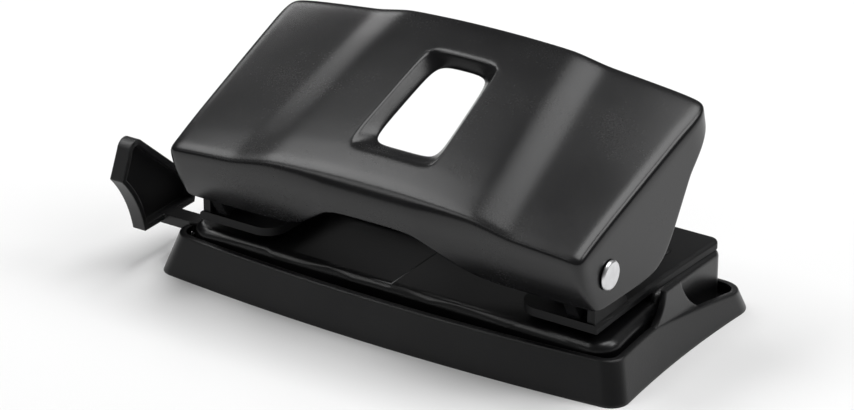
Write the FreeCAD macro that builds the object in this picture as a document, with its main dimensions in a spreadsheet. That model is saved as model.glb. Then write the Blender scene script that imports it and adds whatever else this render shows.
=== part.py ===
import FreeCAD, Part
import os
import re
import Sketcher

# A small two-hole desk punch.  The origin is the middle of the footprint on the desk; X runs
# along the paper slot, the paper enters from -Y, and Z points up.  Lengths are millimetres.

SIZES = {
    # what the punch does
    "hole_spacing": 80.0,           # between the two holes in the sheet
    "hole_margin": 12.0,            # hole centre to the sheet's edge
    "punch_radius": 3.0,
    "paper_slot": 2.0,              # clear height of the slot
    "throat_y": 0.0,                # where the sheet's edge stops
    # clearances
    "running_gap": 0.05,            # radial, pin in hole
    "seat_gap": 0.1,                # between faces that only meet
    "side_gap": 0.3,                # between a moving face and a fixed one
    # chip tray
    "tray_reach": 4.6,              # how far its foot stands out from the base, in front and at the ends
    "tray_reach_rear": 3.1,
    "rim_drop": 2.1,                # the rim in front lies this far below the table
    "tray_rear_rim": 3.9,
    "tray_fall_start": -7.0,        # y from which the rim falls towards the rear
    "tray_lean": 0.31,              # how far a wall leans in for each millimetre of height
    "tray_wall": 1.4,
    "tray_front_bow": 2.7,
    "tray_end_hollow": 1.0,
    "tray_front_corner": 4.2,
    "tray_rear_corner": 6.0,
    "tab_front": -6.5,              # pull tab on the right end, y of its feet and top
    "tab_top_front": -2.6,
    "tab_top_rear": 3.4,
    "tab_rear": 11.5,
    "tab_rise": 6.7,                # above the rim
    "hook_thickness": 1.2,
    "hook_width": 5.0,
    "hook_front_y": -10.0,
    "hook_rear_y": 0.0,
    "hook_height": 5.6,
    "hook_play": 0.5,
    # base plate
    "steel": 1.2,                   # sheet thickness of the base
    "table_height": 11.0,
    "base_front": 23.6,             # y of the front edge
    "base_front_bow": 0.3,
    "base_reach_front": 14.2,       # from a punch to the base's end, at the front and rear corners
    "base_reach_rear": 12.2,
    "base_rear": 27.5,
    "base_end_hollow": 1.2,
    "base_front_corner": 5.0,
    "base_rear_corner": 3.0,
    "table_edge_radius": 2.2,
    "shelf_edge_radius": 1.7,
    "mark_width": 0.5,
    "mark_depth": 0.3,
    # punch frame
    "frame_steel": 1.9,
    "frame_step_front": 3.9,        # the frame ends this far inside the base's corners
    "frame_step_rear": 0.6,
    "frame_step_back": 0.1,
    "frame_end_hollow": 0.6,
    "frame_rear_corner": 2.2,
    "lobe_step": 0.8,               # a lobe ends this far behind the base's front edge
    "lobe_reach": 9.5,              # from a punch to the lobe's inner side
    "frame_middle_front": 2.5,
    "frame_lobe_radius": 5.0,
    "frame_edge_radius": 0.8,
    "ear_steel": 1.8,
    "ear_step": 0.4,                # an ear's front lies this far behind the lobe's front
    "ear_rear": 9.0,
    "ear_radius": 4.8,
    # pivot
    "pivot_back": 1.0,              # from the ear's front edge
    "pivot_rise": 11.7,             # above the frame
    "rivet_radius": 2.0,
    "rivet_head_radius": 3.3,
    "rivet_head_height": 0.8,
    "rivet_tail_radius": 3.0,
    "washer_thickness": 0.5,
    "washer_radius": 4.4,
    # punch units
    "guide_radius": 4.5,
    "guide_shank": 4.0,
    "guide_height": 4.1,            # above the frame
    "tip_gap": 0.4,                 # the tip rests this far above the slot
    "punch_length": 16.4,
    "punch_bevel": 0.6,
    "tip_notch": 1.2,
    "ring_depth": 3.0,              # from the punch's top to the groove's lower edge
    "ring_thickness": 0.8,
    "ring_bite": 0.6,
    "ring_radius": 5.0,
    "ring_mouth": 3.4,
    "cap_radius": 6.6,
    "cap_thickness": 0.9,
    "wire": 1.0,
    "coil_radius": 5.6,
    "coil_turns": 6.0,
    # rivets that hold the frame to the base
    "frame_rivet_radius": 1.5,
    "frame_rivet_head": 2.8,
    "frame_rivet_dome": 0.8,
    "frame_rivet_y": 15.0,
    "rivet_edge": 8.6,              # from the frame's end to the outer rivets
    "frame_rivet_inner": 15.0,
    # paper guide and its bracket
    "ruler_step": 4.0,              # from the base's front edge to the ruler
    "ruler_width": 4.2,
    "ruler_thickness": 2.4,
    "ruler_drop": 0.2,              # gap between the ruler and the table above it
    "ruler_short": 9.2,             # the ruler ends this far inside the base's end
    "stop_gap": 3.7,                # between the tray and the stop's open face
    "stop_thickness": 3.4,
    "stop_wall": 1.3,
    "stop_dish": 2.3,
    "stop_heel_y": -26.7,           # side view of the stop, corner by corner
    "stop_foot_gap": 1.0,           # the stop's foot reaches this far above the ruler's foot
    "stop_toe_y": -8.6,
    "stop_back_y": -7.3,
    "stop_back_z": 13.2,
    "stop_crest_y": -27.3,
    "stop_crest_z": 30.5,
    "stop_brow_y": -31.3,
    "stop_brow_z": 28.9,
    "stop_front_y": -34.1,
    "stop_front_z": 22.8,
    "stop_round": 1.1,              # how far the crest is rounded beyond its chord
    "stop_hollow": 1.1,             # how far the lower front edge is hollowed
    "bracket_edge": 4.7,            # from the base's end to the bracket
    "bracket_length": 6.5,
    "bracket_steel": 0.8,
    # handle
    "handle_wall": 1.5,
    "cheek_step_front": 1.2,        # a cheek stands this far outside the frame's end
    "cheek_step_rear": 1.7,
    "front_lean": 7.0,              # the ridge stands out this far over the front wall's foot
    "front_height": 13.3,           # from the front wall's foot to the ridge at the cheeks
    "handle_length": 49.7,          # from the ridge to the rear lip
    "handle_rise": 18.9,
    "edge_round": 2.8,
    "lip_corner": 4.0,              # rounding between a cheek and the rear lip
    "front_arch": 2.4,              # how much higher the middle is than the ends
    "rear_arch": 5.1,
    "panel_raise": 1.2,             # the middle panel stands above the wings
    "front_ramp_outer": 34.5,
    "front_ramp_inner": 25.9,
    "rear_ramp_outer": 28.9,
    "rear_ramp_inner": 21.2,
    "skirt_gap": 5.1,               # between the frame and the cheeks' foot
    "skirt_step": 2.9,              # from the ears' front to the front wall's foot
    "skirt_length": 24.9,
    "knee_reach": 7.3,              # where the cheek's rear edge bends, from the lip
    "knee_rise": 17.3,
    "lip_lean": 1.2,
    "lip_height": 5.4,
    "arch_foot": 24.0,              # half width of the front wall's arch at its foot
    "arch_crown": 9.0,
    "arch_rise": 7.8,
    "arch_turn": 1.0,
    "window_back": 24.2,            # from the ridge to the window's middle
    "window_length": 24.0,          # the opening, measured along the top
    "window_front_half": 8.1,
    "window_rear_half": 6.3,
    "window_corner": 2.7,
    "recess_length": 30.4,          # the dished edge round it, where it meets the top
    "recess_front_half": 10.6,
    "recess_rear_half": 8.9,
    "recess_corner": 3.5,
    "recess_depth": 2.8,
    "window_land": 0.7,             # straight wall of the opening below the dished edge
    "nose_lead": 1.5,               # the pressing nose stands this far in front of the punch
    "nose_radius": 4.0,
    "nose_width": 3.0,
    "rib_edge": 8.5,                # from the cheek to the stop rib
    "stop_rib_width": 3.0,
}

# Sizes that follow from the ones above: each piece is placed by its neighbour and a clearance.
FOLLOWING = {
    "shelf": "table_height + paper_slot",
    "frame_top": "shelf + frame_steel",
    "base_front_half": "hole_spacing / 2 + base_reach_front",
    "base_rear_half": "hole_spacing / 2 + base_reach_rear",
    "tray_length": "2 * (base_front_half + tray_reach)",
    "tray_front": "base_front + tray_reach",
    "tray_rear": "base_rear + tray_reach_rear",
    "tray_rim": "table_height - rim_drop",
    "tab_height": "tray_rim + tab_rise",
    "frame_front_half": "base_front_half - frame_step_front",
    "frame_rear_half": "base_rear_half - frame_step_rear",
    "frame_rear": "base_rear - frame_step_back",
    "frame_lobe_front": "base_front - lobe_step",
    "frame_lobe_inner": "hole_spacing / 2 - lobe_reach",
    "frame_rivet_outer": "frame_rear_half - rivet_edge",
    "ear_front": "frame_lobe_front - ear_step",
    "pivot_y": "pivot_back - ear_front",
    "pivot_z": "frame_top + pivot_rise",
    "guide_top": "frame_top + guide_height",
    "punch_tip": "shelf + tip_gap",
    "punch_top": "punch_tip + punch_length",
    "ring_groove": "punch_top - ring_depth",
    "ruler_front": "base_front - ruler_step",
    "ruler_end": "base_front_half - ruler_short",
    "stop_face": "tray_length / 2 + stop_gap",
    "stop_heel_z": "table_height - steel - ruler_drop - ruler_thickness + stop_foot_gap",
    "bracket_from": "base_front_half - bracket_edge",
    "handle_front_half": "frame_front_half + cheek_step_front",
    "handle_rear_half": "frame_rear_half + cheek_step_rear",
    "skirt_z": "frame_top + skirt_gap",
    "skirt_front_y": "-ear_front - skirt_step",
    "skirt_rear_y": "skirt_front_y + skirt_length",
    "ridge_y": "skirt_front_y - front_lean",
    "ridge_z": "skirt_z + front_height",
    "lip_y": "ridge_y + handle_length",
    "lip_z": "ridge_z + handle_rise",
    "cheek_knee_y": "lip_y - knee_reach",
    "cheek_knee_z": "skirt_z + knee_rise",
    "lip_foot_y": "lip_y + lip_lean",
    "lip_foot_z": "lip_z - lip_height",
    "arch_z": "skirt_z + arch_rise",
    "window_y": "ridge_y + window_back",
    "nose_y": "throat_y - hole_margin - nose_lead",
    "stop_rib_x": "handle_front_half - rib_edge",
}

doc = FreeCAD.newDocument("TwoHolePunch")
sheet = doc.addObject("Spreadsheet::Sheet", "Dims")
for row, (alias, content) in enumerate([*SIZES.items(), *FOLLOWING.items()], start=1):
    sheet.set("A%d" % row, alias)
    sheet.setAlias("B%d" % row, alias)
    sheet.set("B%d" % row, "=" + content if alias in FOLLOWING else str(content))
doc.recompute()

# Places worked out from the sheet inside the expressions below.
BASE_FOOT = "(tray_wall + seat_gap)"
TABLE_UNDER = "(table_height - steel)"
SHELF = "shelf"
FRAME_TOP = "frame_top"
PUNCH_X = "(hole_spacing / 2)"
PUNCH_Y = "(throat_y - hole_margin)"
CHEEK_GROWTH = "((handle_rear_half - handle_front_half) / (lip_y - ridge_y))"
PIVOT_CHEEK = "(handle_front_half + %s * (pivot_y - ridge_y))" % CHEEK_GROWTH
CHEEK_INNER = "(%s - handle_wall)" % PIVOT_CHEEK
WASHER_OUTER = "(%s - abs(%s) * washer_radius - seat_gap)" % (CHEEK_INNER, CHEEK_GROWTH)
EAR_OUTER = "(%s - washer_thickness - running_gap)" % WASHER_OUTER
EAR_INNER = "(%s - ear_steel)" % EAR_OUTER
TOP_SLOPE = "((lip_z - ridge_z) / (lip_y - ridge_y))"
NOSE_Z = "(punch_top + seat_gap + nose_radius)"
RULER_TOP = "(%s - ruler_drop)" % TABLE_UNDER
RULER_FOOT = "(%s - ruler_thickness)" % RULER_TOP
TRAY_END_INNER = "(tray_length / 2 - tray_end_hollow - tray_lean * tray_rim - tray_wall)"
HOOK_TIP = ("(tray_length / 2 - tray_end_hollow - tray_lean * hook_height"
            " - tray_wall * 0.65)")


ALIASES = {*SIZES, *FOLLOWING}


def bound(text):
    """Turn an expression in plain words into one that names the sheet's cells."""
    return re.sub(r"[a-z]\w*", lambda m: "Dims." + m.group() if m.group() in ALIASES else m.group(),
                  str(text))


def size(text):
    """The value that an expression has now."""
    return float(sheet.evalExpression(bound(text)))


def quarter(radius):
    """The rise of a quarter circle over its chord."""
    return "(%s) * (1 - sqrt(0.5))" % radius


def new_body(name):
    body = doc.addObject("PartDesign::Body", name)
    body.Label = name
    return body


def plane_sketch(body, name, plane, offset="0"):
    """A sketch on one of the body's own origin planes, moved along the plane's normal."""
    sketch = body.newObject("Sketcher::SketchObject", body.Name + "_" + name)
    origin_plane = [o for o in body.Origin.OriginFeatures if o.Role == plane][0]
    sketch.AttachmentSupport = [(origin_plane, "")]
    sketch.MapMode = "FlatFace"
    sketch.setExpression(".AttachmentOffset.Base.z", bound(offset))
    return sketch


def bind(sketch, kind, *where_and_value):
    *where, value = where_and_value
    index = sketch.addConstraint(Sketcher.Constraint(kind, *where, size(value)))
    sketch.setExpression("Constraints[%d]" % index, bound(value))


def pin(sketch, geometry, point, x, y):
    bind(sketch, "DistanceX", -1, 1, geometry, point, x)
    bind(sketch, "DistanceY", -1, 1, geometry, point, y)


def outline(sketch, corners):
    """Close an outline through corners (x, y) or (x, y, rise): a rise bends the edge that
    leaves the corner into an arc, to the right of its way when the rise is positive."""
    first = len(sketch.Geometry)
    count = len(corners)
    for number, corner in enumerate(corners):
        following = corners[(number + 1) % count]
        start = FreeCAD.Vector(size(corner[0]), size(corner[1]), 0)
        end = FreeCAD.Vector(size(following[0]), size(following[1]), 0)
        if len(corner) == 2:
            sketch.addGeometry(Part.LineSegment(start, end))
            continue
        rise = size(corner[2])
        way = (end - start).normalize()
        middle = (start + end) * 0.5 + FreeCAD.Vector(way.y, -way.x, 0) * rise
        sketch.addGeometry(Part.Arc(start, middle, end))
    for number, corner in enumerate(corners):
        edge = first + number
        following = corners[(number + 1) % count]
        turned = len(corner) == 3 and size(corner[2]) < 0
        next_turned = len(following) == 3 and size(following[2]) < 0
        start_point = 2 if turned else 1
        pin(sketch, edge, start_point, corner[0], corner[1])
        next_edge = first + (number + 1) % count
        sketch.addConstraint(Sketcher.Constraint("Coincident", edge, 3 - start_point,
                                                 next_edge, 2 if next_turned else 1))
        if len(corner) == 3:
            sign = "-1" if turned else "1"
            chord = "((%s) - (%s))^2 + ((%s) - (%s))^2" % (following[0], corner[0],
                                                         following[1], corner[1])
            radius = "%s * ((%s) / (8 * (%s)) + (%s) / 2)" % (sign, chord, corner[2], corner[2])
            bind(sketch, "Radius", edge, radius)


def inset(corners, wall):
    """Move every corner of an outline inwards by the wall, measured square to its edges."""
    points = [FreeCAD.Vector(size(c[0]), size(c[1]), 0) for c in corners]
    moved = []
    for number, corner in enumerate(corners):
        before = (points[number] - points[number - 1]).normalize()
        after = (points[(number + 1) % len(points)] - points[number]).normalize()
        mitre = FreeCAD.Vector(-before.y - after.y, before.x + after.x, 0) / (1 + before * after)
        moved.append(("%s + %.4f * (%s)" % (corner[0], mitre.x, wall),
                      "%s + %.4f * (%s)" % (corner[1], mitre.y, wall)) + tuple(corner[2:]))
    return moved


def box_outline(sketch, x_from, x_to, y_from, y_to):
    outline(sketch, [(x_from, y_from), (x_to, y_from), (x_to, y_to), (x_from, y_to)])


def circle(sketch, x, y, radius):
    centre = FreeCAD.Vector(size(x), size(y), 0)
    edge = sketch.addGeometry(Part.Circle(centre, FreeCAD.Vector(0, 0, 1), size(radius)))
    pin(sketch, edge, 3, x, y)
    bind(sketch, "Radius", edge, radius)


def extrude(body, kind, sketch, length, reverse=False):
    """Pad along the sketch's normal, or pocket against it, unless reversed."""
    feature = body.newObject("PartDesign::" + kind, sketch.Name + "_" + kind.lower())
    feature.Profile = sketch
    feature.setExpression("Length", bound(length))
    feature.Reversed = reverse
    doc.recompute()
    return feature


def loft(body, kind, lower, upper):
    feature = body.newObject("PartDesign::" + kind, upper.Name + "_loft")
    feature.Profile = lower
    feature.Sections = [upper]
    feature.Ruled = True
    doc.recompute()
    return feature


def revolve(body, sketch, axis):
    feature = body.newObject("PartDesign::Revolution", sketch.Name + "_turned")
    feature.Profile = sketch
    feature.ReferenceAxis = (sketch, [axis])
    feature.Angle = 360
    doc.recompute()
    return feature


def fillet(body, radius, wanted, name):
    """Round the edges of the body's last feature whose middle point passes the test."""
    base = body.Tip
    names = []
    for number, edge in enumerate(base.Shape.Edges, start=1):
        middle = edge.valueAt(edge.getParameterByLength(edge.Length / 2))
        if wanted(middle, edge):
            names.append("Edge%d" % number)
    feature = body.newObject("PartDesign::Fillet", body.Name + "_" + name)
    feature.Base = (base, names)
    feature.setExpression("Radius", bound(radius))
    doc.recompute()
    return feature


def upright(edge):
    """True for an edge whose two ends differ mostly in height."""
    ends = [v.Point for v in edge.Vertexes]
    if len(ends) < 2:
        return False
    step = ends[1] - ends[0]
    return abs(step.z) > 0.8 * step.Length


def place(item, x="0", y="0", z="0"):
    for axis, value in zip("xyz", (x, y, z)):
        item.setExpression(".Placement.Base." + axis, bound(value))


def half_turn(item):
    """Turn a piece made for the right side about Z, for the left side."""
    item.Placement.Rotation = FreeCAD.Rotation(FreeCAD.Vector(0, 0, 1), 180)


# ---- chip tray -------------------------------------------------------------------------------

def tray_outline(body, name, height, inset_by):
    """Plan of the tray at one height.  A corner meets the bowed front and the hollow ends
    without a kink, so it turns a little less than a right angle in front and more behind."""
    sketch = plane_sketch(body, name, "XY_Plane", height)
    lean = "tray_lean * (%s) - (%s)" % (height, inset_by)
    half = "(tray_length / 2 - %s)" % lean
    front_y = "-(tray_front - %s)" % lean
    rear_y = "(tray_rear - %s)" % lean
    front = "(tray_front_corner - (%s))" % inset_by
    rear = "(tray_rear_corner - (%s))" % inset_by
    front_end = "%s - 0.90 * %s" % (half, front)
    rear_end = "%s - %s" % (half, rear)
    side_front = "%s + 1.06 * %s" % (front_y, front)
    side_rear = "%s - 1.07 * %s" % (rear_y, rear)
    outline(sketch, [("-(%s)" % front_end, front_y, "tray_front_bow"),
                     (front_end, front_y, "0.283 * " + front),
                     (half, side_front, "-tray_end_hollow"),
                     (half, side_rear, "0.317 * " + rear),
                     (rear_end, rear_y),
                     ("-(%s)" % rear_end, rear_y, "0.317 * " + rear),
                     ("-" + half, side_rear, "-tray_end_hollow"),
                     ("-" + half, side_front, "0.283 * " + front)])
    return sketch


def chip_tray():
    """Moulded pan: leaning walls, a rim that falls towards the rear, a pull tab at one end."""
    body = new_body("chip_tray")
    loft(body, "AdditiveLoft", tray_outline(body, "foot", "0", "0"),
         tray_outline(body, "rim", "tray_rim", "0"))
    loft(body, "SubtractiveLoft", tray_outline(body, "floor", "tray_wall", "tray_wall"),
         tray_outline(body, "mouth", "tray_rim + tray_wall", "tray_wall"))

    lowered = plane_sketch(body, "lowered", "YZ_Plane", "tray_length")
    outline(lowered, [("tray_fall_start", "tray_rim"), ("tray_rear", "tray_rear_rim"),
                      ("tray_rear * 2", "tray_rear_rim"), ("tray_rear * 2", "tray_rim * 2"),
                      ("tray_fall_start", "tray_rim * 2")])
    extrude(body, "Pocket", lowered, "tray_length * 2")

    tab = plane_sketch(body, "tab", "YZ_Plane", TRAY_END_INNER)
    fall = "(tray_rim - tray_rear_rim) / (tray_rear - tray_fall_start)"
    foot = "tray_rim - %s * (tab_rear - tray_fall_start)" % fall
    outline(tab, [("tab_front", "tray_rim - tray_wall"), ("tab_rear", foot + " - tray_wall"),
                  ("tab_rear", foot, "-1.1"), ("tab_top_rear", "tab_height"),
                  ("tab_top_front", "tab_height", "-1.0"), ("tab_front", "tray_rim")])
    extrude(body, "Pad", tab, "tray_wall")
    catch = plane_sketch(body, "catch", "XY_Plane", "tray_rim - 2 * tray_wall")
    box_outline(catch, TRAY_END_INNER + " - tray_wall", TRAY_END_INNER + " + tray_wall",
                "-tray_wall", "tray_wall")
    extrude(body, "Pad", catch, "tray_wall")

    ruler_way = plane_sketch(body, "ruler_way", "XY_Plane", RULER_FOOT + " - 4 * side_gap")
    box_outline(ruler_way, "-tray_length", "-base_rear_half",
                "-ruler_front - side_gap", "ruler_width - ruler_front + side_gap")
    extrude(body, "Pocket", ruler_way, "tray_rear_rim", reverse=True)
    hook_holes = plane_sketch(body, "hook_holes", "XY_Plane", "hook_height - hook_play")
    for middle in ("hook_front_y", "hook_rear_y"):
        box_outline(hook_holes, "-" + HOOK_TIP + " - side_gap",
                    "-" + TRAY_END_INNER + " + tray_wall",
                    middle + " - hook_width / 2 - side_gap",
                    middle + " + hook_width / 2 + side_gap")
    extrude(body, "Pocket", hook_holes, "hook_thickness + 2 * hook_play", reverse=True)
    return body


# ---- base plate ------------------------------------------------------------------------------

def base_outline(sketch, inset_by):
    """Plan of the pan: a slightly bowed front and hollow ends, widest in front."""
    front = "-(base_front - (%s))" % inset_by
    front_half = "(base_front_half - (%s))" % inset_by
    rear_half = "(base_rear_half - (%s))" % inset_by
    rear = "(base_rear - (%s))" % inset_by
    outline(sketch, [("-" + front_half, front, "base_front_bow"),
                     (front_half, front, "-base_end_hollow"),
                     (rear_half, rear),
                     ("-" + rear_half, rear, "-base_end_hollow")])


def base_plate():
    """Pressed steel pan, open below: the paper table in front and a raised shelf behind it."""
    body = new_body("base_plate")
    plan = plane_sketch(body, "plan", "XY_Plane", BASE_FOOT)
    base_outline(plan, "0")
    extrude(body, "Pad", plan, "%s - %s" % (SHELF, BASE_FOOT))
    hollow = plane_sketch(body, "hollow", "XY_Plane", BASE_FOOT)
    base_outline(hollow, "steel")
    extrude(body, "Pocket", hollow, "table_height - steel - " + BASE_FOOT, reverse=True)
    for where, name, y in (("front", "base_front_corner", "-base_front"),
                           ("rear", "base_rear_corner", "base_rear")):
        fillet(body, name + " - steel",
               lambda p, e: upright(e) and 0.3 < abs(p.y - size(y)) < 2, where + "_corners_inside")
        fillet(body, name,
               lambda p, e: upright(e) and abs(p.y - size(y)) < 0.3, where + "_corners")
    table = plane_sketch(body, "table", "XY_Plane", "table_height")
    box_outline(table, "-base_front_half * 2", "base_front_half * 2", "-base_front * 2",
                "throat_y")
    extrude(body, "Pocket", table, "paper_slot * 2", reverse=True)
    fillet(body, "table_edge_radius",
           lambda p, e: abs(p.z - size("table_height")) < 0.01 and p.y < size("throat_y - 0.1"),
           "table_edge")
    fillet(body, "shelf_edge_radius",
           lambda p, e: abs(p.z - size(SHELF)) < 0.01 and p.y > size("throat_y + 0.1"),
           "shelf_edge")

    shelf_hollow = plane_sketch(body, "shelf_hollow", "XY_Plane", TABLE_UNDER)
    box_outline(shelf_hollow, "1.5 * steel - base_rear_half", "base_rear_half - 1.5 * steel",
                "throat_y + steel", "base_rear - 1.5 * steel")
    extrude(body, "Pocket", shelf_hollow, "paper_slot", reverse=True)

    dies = plane_sketch(body, "dies", "XY_Plane", "table_height")
    for side in ("-", ""):
        circle(dies, side + PUNCH_X, PUNCH_Y, "punch_radius + running_gap")
    extrude(body, "Pocket", dies, "2 * steel")
    rivet_holes = plane_sketch(body, "rivet_holes", "XY_Plane", SHELF)
    for side in ("-", ""):
        for where in ("frame_rivet_outer", "frame_rivet_inner"):
            circle(rivet_holes, side + where, "frame_rivet_y", "frame_rivet_radius")
    extrude(body, "Pocket", rivet_holes, "2 * steel")
    mark = plane_sketch(body, "mark", "XY_Plane", "table_height")
    box_outline(mark, "-mark_width / 2", "mark_width / 2", "-base_front - base_front_bow",
                "throat_y - 1")
    extrude(body, "Pocket", mark, "mark_depth")

    ruler_mouth = plane_sketch(body, "ruler_mouth", "YZ_Plane", "-base_front_half / 2")
    box_outline(ruler_mouth, "-ruler_front - side_gap", "ruler_width - ruler_front + side_gap",
                RULER_FOOT + " - side_gap", RULER_TOP)
    extrude(body, "Pocket", ruler_mouth, "base_front_half")
    for name in ("hook_front", "hook_rear"):
        hook = plane_sketch(body, name, "XY_Plane", "hook_height")
        middle = name + "_y"
        box_outline(hook, "-" + HOOK_TIP, "steel - base_rear_half",
                    middle + " - hook_width / 2", middle + " + hook_width / 2")
        extrude(body, "Pad", hook, "hook_thickness")
    return body


# ---- punch frame -----------------------------------------------------------------------------

def punch_frame():
    """Pressed steel plate over the slot: a lobe round each punch and an ear for each pivot."""
    body = new_body("punch_frame")
    plan = plane_sketch(body, "plan", "XY_Plane", SHELF)
    outline(plan, [("-frame_front_half", "-frame_lobe_front"),
                   ("-frame_lobe_inner", "-frame_lobe_front"),
                   ("-frame_lobe_inner", "frame_middle_front"),
                   ("frame_lobe_inner", "frame_middle_front"),
                   ("frame_lobe_inner", "-frame_lobe_front"),
                   ("frame_front_half", "-frame_lobe_front", "-frame_end_hollow"),
                   ("frame_rear_half", "frame_rear"),
                   ("-frame_rear_half", "frame_rear", "-frame_end_hollow")])
    extrude(body, "Pad", plan, "frame_steel")
    fillet(body, "frame_lobe_radius",
           lambda p, e: upright(e) and abs(abs(p.x) - size("frame_lobe_inner")) < 0.01, "lobes")
    fillet(body, "frame_rear_corner",
           lambda p, e: upright(e) and p.y > size("frame_rear - 1"), "rear_corners")
    fillet(body, "frame_edge_radius",
           lambda p, e: abs(p.z - size(FRAME_TOP)) < 0.01 and
           (abs(p.x) > size("frame_front_half - 1") or p.y > size("frame_rear - 1")), "edge")
    for side in ("-", ""):
        inner_face = EAR_INNER if not side else "-" + EAR_OUTER
        ear = plane_sketch(body, "ear_left" if side else "ear_right", "YZ_Plane", inner_face)
        shoulder = "pivot_z - sqrt(ear_radius^2 - (ear_front + pivot_y)^2)"
        chord = ("((ear_radius - ear_front - pivot_y)^2 + ear_radius^2"
                 " - (ear_front + pivot_y)^2)")
        turn = "ear_radius - sqrt(ear_radius^2 - %s / 4)" % chord
        outline(ear, [("-ear_front", SHELF), ("-ear_rear", SHELF),
                      ("-ear_rear", FRAME_TOP),
                      ("pivot_y + ear_radius", "pivot_z", quarter("ear_radius")),
                      ("pivot_y", "pivot_z + ear_radius", quarter("ear_radius")),
                      ("pivot_y - ear_radius", "pivot_z", turn), ("-ear_front", shoulder)])
        extrude(body, "Pad", ear, "ear_steel")
    pivots = plane_sketch(body, "pivots", "YZ_Plane", "frame_rear_half * 2")
    circle(pivots, "pivot_y", "pivot_z", "rivet_radius")
    extrude(body, "Pocket", pivots, "frame_rear_half * 4")
    guides = plane_sketch(body, "guides", "XY_Plane", FRAME_TOP)
    rivets = plane_sketch(body, "rivets", "XY_Plane", FRAME_TOP)
    for side in ("-", ""):
        circle(guides, side + PUNCH_X, PUNCH_Y, "guide_shank")
        for where in ("frame_rivet_outer", "frame_rivet_inner"):
            circle(rivets, side + where, "frame_rivet_y", "frame_rivet_radius")
    extrude(body, "Pocket", guides, "frame_steel * 2")
    extrude(body, "Pocket", rivets, "frame_steel * 2")
    return body


# ---- punch units -----------------------------------------------------------------------------

def turned(name, corners, axis="V_Axis"):
    """A piece turned on the lathe: its half section is drawn beside the axis."""
    body = new_body(name)
    section = plane_sketch(body, "section", "XZ_Plane")
    outline(section, corners)
    revolve(body, section, axis)
    return body


def punch_guide(side_name, side):
    """Steel bush, its shank riveted into the frame, that keeps the pin upright."""
    bore = "punch_radius + running_gap"
    body = turned("punch_guide_" + side_name,
                  [(bore, SHELF), ("guide_shank", SHELF), ("guide_shank", FRAME_TOP),
                   ("guide_radius", FRAME_TOP), ("guide_radius", "guide_top - punch_bevel"),
                   ("guide_radius - punch_bevel", "guide_top"), (bore, "guide_top")])
    place(body, side + PUNCH_X, PUNCH_Y)
    return body


def punch_pin(side_name, side):
    """Hardened pin with a groove for its ring and a V ground across the tip."""
    groove = "punch_radius - ring_bite"
    body = turned("punch_pin_" + side_name,
                  [("0", "punch_tip"), ("punch_radius", "punch_tip"),
                   ("punch_radius", "ring_groove"), (groove, "ring_groove"),
                   (groove, "ring_groove + ring_thickness"),
                   ("punch_radius", "ring_groove + ring_thickness"),
                   ("punch_radius", "punch_top - punch_bevel"),
                   ("punch_radius - punch_bevel", "punch_top"), ("0", "punch_top")])
    notch = plane_sketch(body, "notch", "XZ_Plane", "-2 * punch_radius")
    outline(notch, [("-punch_radius", "punch_tip - tip_notch / 2"),
                    ("punch_radius", "punch_tip - tip_notch / 2"),
                    ("0", "punch_tip + tip_notch")])
    extrude(body, "Pocket", notch, "4 * punch_radius", reverse=True)
    place(body, side + PUNCH_X, PUNCH_Y)
    return body


def retaining_ring(side_name, side):
    """Spring-steel ring with an open mouth, snapped into the pin's groove."""
    body = turned("retaining_ring_" + side_name,
                  [("punch_radius - ring_bite + running_gap", "ring_groove + running_gap"),
                   ("ring_radius", "ring_groove + running_gap"),
                   ("ring_radius", "ring_groove + ring_thickness - running_gap"),
                   ("punch_radius - ring_bite + running_gap",
                    "ring_groove + ring_thickness - running_gap")])
    mouth = plane_sketch(body, "mouth", "XY_Plane", "ring_groove + 2 * ring_thickness")
    box_outline(mouth, "-ring_mouth / 2", "ring_mouth / 2", "0", "2 * ring_radius")
    extrude(body, "Pocket", mouth, "4 * ring_thickness")
    place(body, side + PUNCH_X, PUNCH_Y)
    return body


def spring_washer(side_name, side):
    """Flat washer between the spring and the ring."""
    low = "ring_groove - cap_thickness"
    body = turned("spring_washer_" + side_name,
                  [("punch_radius + running_gap", low), ("cap_radius", low),
                   ("cap_radius", "ring_groove"), ("punch_radius + running_gap", "ring_groove")])
    place(body, side + PUNCH_X, PUNCH_Y)
    return body


def return_spring(side_name, side):
    """Wire spring that stands on the frame round the bush and lifts the washer."""
    body = new_body("return_spring_" + side_name)
    section = plane_sketch(body, "section", "XZ_Plane")
    circle(section, "coil_radius", "wire / 2", "wire / 2")
    helix = body.newObject("PartDesign::AdditiveHelix", body.Name + "_coil")
    helix.Profile = section
    helix.ReferenceAxis = (section, ["V_Axis"])
    helix.Mode = "height-turns-angle"
    length = "ring_groove - cap_thickness - %s - wire - 2 * running_gap" % FRAME_TOP
    helix.setExpression("Height", bound(length))
    helix.setExpression("Turns", bound("coil_turns"))
    doc.recompute()
    place(body, side + PUNCH_X, PUNCH_Y, FRAME_TOP + " + running_gap")
    return body


# ---- pivots ----------------------------------------------------------------------------------

def pivot_rivet(side_name, side):
    """Steel rivet: a flat head outside the cheek, a shank, and a tail closed on the ear."""
    head = PIVOT_CHEEK + " + 2 * seat_gap"
    tail = EAR_INNER + " - rivet_head_height"
    body = turned("pivot_rivet_" + side_name,
                  [(tail, "0"), (tail, "rivet_tail_radius"), (EAR_INNER, "rivet_tail_radius"),
                   (EAR_INNER, "rivet_radius"), (head, "rivet_radius"),
                   (head, "rivet_head_radius"), (head + " + rivet_head_height / 2",
                                                 "rivet_head_radius"),
                   (head + " + rivet_head_height", "rivet_head_radius - rivet_head_height / 2"),
                   (head + " + rivet_head_height", "0")], "H_Axis")
    if side:
        half_turn(body)
    place(body, "0", "pivot_y", "pivot_z")
    return body


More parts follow.
